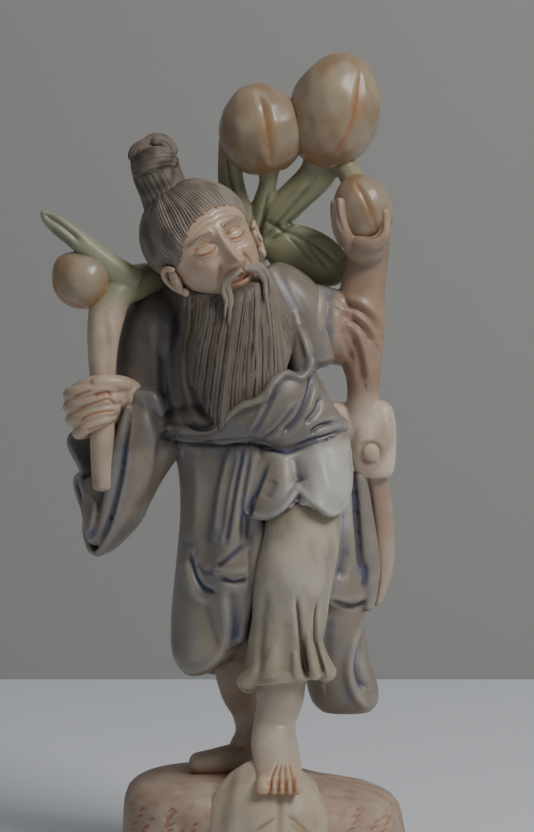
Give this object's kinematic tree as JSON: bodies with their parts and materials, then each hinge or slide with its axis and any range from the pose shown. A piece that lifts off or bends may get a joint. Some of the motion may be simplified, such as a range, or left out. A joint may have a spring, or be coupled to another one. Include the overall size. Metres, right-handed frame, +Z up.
{
  "type": "ceramic immortal figure",
  "caption": "Bearded immortal in an open robe, one foot raised on a great peach, carrying a leafy bough of peaches, cast in one piece with its rock base; stands on a shelf.",
  "frame": {"origin": "middle of the rock's flat underside", "axes": "+Z up the figure, -Y the side the figure faces, +X towards the figure's raised hand"},
  "size_m": [0.1329, 0.0857, 0.2988],
  "materials": {
    "painted_ceramic": "satin"
  },
  "bodies": {
    "root": {"immortal_figure": "painted_ceramic"}
  },
  "joints": []
}
